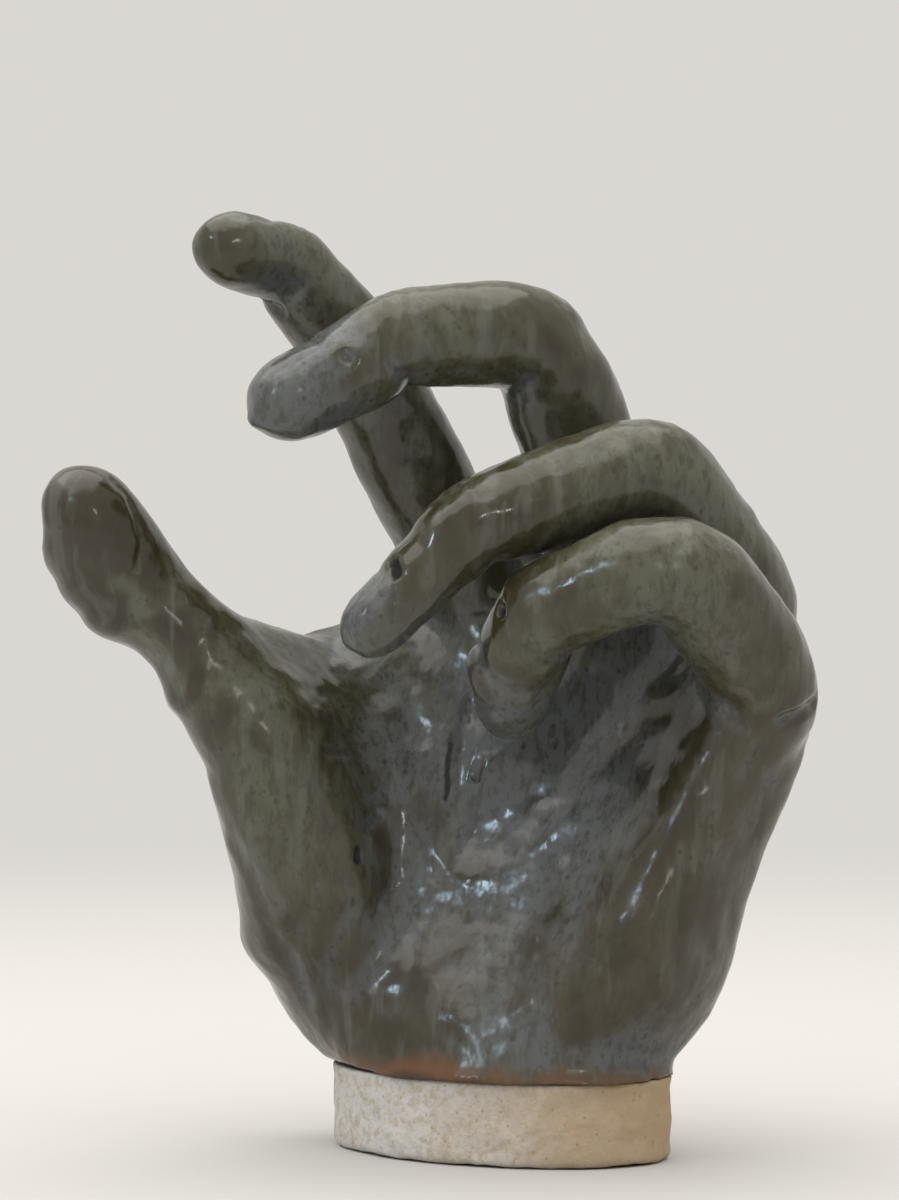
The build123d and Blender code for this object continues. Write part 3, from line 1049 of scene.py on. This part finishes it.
def clay_material(specks, hand_marks):
    """Rough bare stoneware, off-white with ochre stains and grit."""
    material, recipe = new_material("bare_fired_clay")
    cloud = recipe.noise(scale=55.0, detail=4.0, rough=0.6)
    stain = recipe.sum("MULTIPLY_ADD", cloud, 0.05, recipe.off_middle(0))
    body = recipe.blend(recipe.grade(stain, 0.015, 0.075), CLAY["body"], CLAY["ochre"])
    blotch = recipe.grade(recipe.noise(scale=480.0, detail=5.0, rough=0.75), 0.44, 0.62, 0.0, 0.6)
    mottled = recipe.blend(blotch, body, CLAY["mottle"])
    iron = recipe.sum("MULTIPLY", recipe.group(specks, Scale=900.0, Amount=0.14), 0.4)
    gritty = recipe.blend(iron, mottled, CLAY["iron"])
    grain = recipe.noise(scale=1100.0, detail=4.0, rough=0.75)
    marks = recipe.group(hand_marks, Dimples=1.0, Strokes=0.2)
    rough_height = recipe.sum("MULTIPLY_ADD", grain, 0.35, marks)
    bump = recipe.node("ShaderNodeBump", Strength=0.9, Distance=0.0007, Height=rough_height)
    shader = recipe.node("ShaderNodeBsdfPrincipled", Base_Color=gritty,
                         Roughness=recipe.grade(grain, 0.3, 0.7, 0.82, 0.95), Normal=bump.outputs[0])
    recipe.node("ShaderNodeOutputMaterial", Surface=shader.outputs[0])
    return material


# The skin is cut into the pieces of the CAD
form = bmesh.new()
form.from_mesh(mesh)
part = form.faces.layers.int.new("part")
for number, name in enumerate(DIGITS, 1):
    for face in cut_digit(form, name):
        face[part] = number
for seam in PANEL:
    slice_flat(form, [face for face in form.faces if face[part] == 0], seam)
on_both = [corner for corner in form.verts if lies_on([corner], PANEL, ON_BOTH_SEAMS)]
bmesh.ops.remove_doubles(form, verts=on_both, dist=CORNER_GAP)
for face in form.faces:
    if face[part] == 0:
        middle = face.calc_center_median()
        face[part] = PALM_NUMBER if max(beyond(middle, seam) for seam in PANEL) < 0 else BACK_NUMBER
border = [edge for edge in form.edges if len(edge.link_faces) == 2
          and {face[part] for face in edge.link_faces} == {PALM_NUMBER, BACK_NUMBER}]
bmesh.ops.split_edges(form, edges=border)

specks = speck_group()
hand_marks = hand_marks_group()
glaze = glaze_material(specks, hand_marks)
clay = clay_material(specks, hand_marks)

for number, name in enumerate(DIGITS + SHELLS, 1):
    seams = [SEAMS[name]] if name in DIGITS else list(SEAMS.values())
    piece_mesh = piece_of(form, number, name, seams, name not in DIGITS)
    keep_skin_normals(piece_mesh)
    finish_piece(piece_mesh, name, glaze, "glaze")
form.free()

# The bare foot: torn a little at its edges, flat where it stands
foot = Surface(kneaded(["foot_ring"], FOOT_GRAIN))
foot.smooth_keeping_size(FOOT_SMOOTHING)
lip_free = np.clip((FOOT_TOP - foot.points[:, 2]) / FOOT_FADE, 0, 1)
for size, height, seed in FOOT_LUMPS:
    push = (lumps(foot.points, size, seed) - 0.35) * height * lip_free
    foot.points += foot.normals * np.minimum(push, FOOT_SWELL)[:, None]
foot.points[:, 2] = np.maximum(foot.points[:, 2], 0)
foot.refresh()
foot_mesh = foot.mesh
foot_mesh.name = "foot_ring"
foot_mesh.polygons.foreach_set("use_smooth", np.ones(len(foot_mesh.polygons), bool))
finish_piece(foot_mesh, "foot_ring", clay, "bare_clay")

# A plain pale floor that fades into the backdrop, and soft studio light
floor_form = bmesh.new()
bmesh.ops.create_grid(floor_form, x_segments=1, y_segments=1, size=FLOOR_SIZE)
floor_mesh = mesh_from(floor_form, "studio_floor")
floor = bpy.data.objects.new("studio_floor", floor_mesh)
scene.collection.objects.link(floor)
floor_paint, paper = new_material("pale_paper")
matt = paper.node("ShaderNodeBsdfPrincipled", Base_Color=PAPER, Roughness=0.9)
far_glow = paper.node("ShaderNodeEmission", Color=(*BACKDROP, 1), Strength=1.0)
length = paper.node("ShaderNodeVectorMath", {"operation": "LENGTH"}, Vector=paper.place())
from_middle = length.outputs["Value"]
fade = paper.sum("MULTIPLY", paper.grade(from_middle, *FLOOR_FADE), paper.looking())
faded = paper.tree.nodes.new("ShaderNodeMixShader")
for socket, value in zip(faded.inputs, (fade, matt.outputs[0], far_glow.outputs[0])):
    paper.feed(socket, value)
paper.node("ShaderNodeOutputMaterial", Surface=faded.outputs[0])
floor_mesh.materials.append(floor_paint)

world = bpy.data.worlds.new("studio")
scene.world = world
world.use_nodes = True
world.node_tree.nodes.clear()
sky = Recipe(world.node_tree)
direction = sky.node("ShaderNodeTexCoord").outputs["Generated"]
upward = sky.node("ShaderNodeSeparateXYZ", Vector=direction).outputs[2]
dome = sky.blend(sky.grade(upward, 0.05, 1.0), HORIZON, ZENITH)
around = sky.blend(sky.looking(), dome, (*BACKDROP, 1))
background = sky.node("ShaderNodeBackground", Color=around, Strength=1.0)
sky.node("ShaderNodeOutputWorld", Surface=background.outputs[0])


def soft_lamp(name, place, target, size, power, colour):
    """A soft square lamp turned to a place."""
    lamp = bpy.data.lights.new(name, "AREA")
    lamp.size = size
    lamp.energy = power
    lamp.color = colour
    holder = bpy.data.objects.new(name, lamp)
    scene.collection.objects.link(holder)
    holder.location = place
    holder.rotation_euler = (Vector(target) - Vector(place)).to_track_quat("-Z", "Y").to_euler()


middle = (foot_centre.x, foot_centre.y, LAMP_TARGET_HEIGHT)
soft_lamp("overhead_softbox", (-0.20, 0.02, 1.05), middle, size=1.3, power=8.0, colour=WARM_LIGHT)
soft_lamp("window_lamp", (-0.62, -0.55, 0.50), middle, size=0.065, power=0.5, colour=WINDOW_LIGHT)
soft_lamp("room_lamp", (0.16, -0.86, 0.36), middle, size=0.05, power=0.25, colour=WARM_LIGHT)

camera = bpy.data.cameras.new("camera")
camera.sensor_width = SENSOR_MM
camera.lens = FOCAL_PIXELS * SENSOR_MM / PHOTO_HEIGHT
camera_holder = bpy.data.objects.new("camera", camera)
scene.collection.objects.link(camera_holder)
camera_holder.location = camera_place
camera_holder.rotation_euler = (radians(90), 0, 0)
scene.camera = camera_holder
scene.view_settings.view_transform = "Standard"
